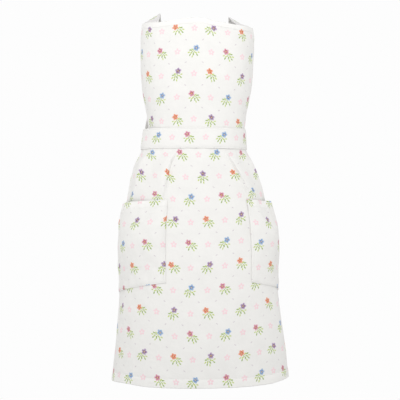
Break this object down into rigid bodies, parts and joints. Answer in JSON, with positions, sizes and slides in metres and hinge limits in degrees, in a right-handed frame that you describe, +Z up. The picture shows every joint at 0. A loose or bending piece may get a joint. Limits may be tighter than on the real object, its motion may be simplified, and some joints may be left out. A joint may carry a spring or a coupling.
{
  "type": "kids apron",
  "caption": "Child's pinafore apron in white cotton with small sprigs, waistband, pleated skirt, two patch pockets and crossed straps.",
  "frame": {"origin": "top of the shoulder straps, midway between them, where the apron hangs on the shoulders", "axes": "+Z up, the front of the apron faces -Y, +X to the right as seen from the front"},
  "size_m": [0.3116, 0.1876, 0.6445],
  "materials": {
    "printed_cotton": "matte woven cotton, white ground with small printed sprigs",
    "strap_cotton": "matte woven cotton, white ground with small printed sprigs"
  },
  "bodies": {
    "root": {"bib": "printed_cotton", "waistband": "printed_cotton", "skirt": "printed_cotton", "pocket_left": "printed_cotton", "pocket_right": "printed_cotton", "shoulder_strap_left": "strap_cotton", "shoulder_strap_right": "strap_cotton", "waist_tie_left": "strap_cotton", "waist_tie_right": "strap_cotton", "tie_knot": "strap_cotton", "tie_tail_left": "strap_cotton", "tie_tail_right": "strap_cotton"}
  },
  "joints": []
}
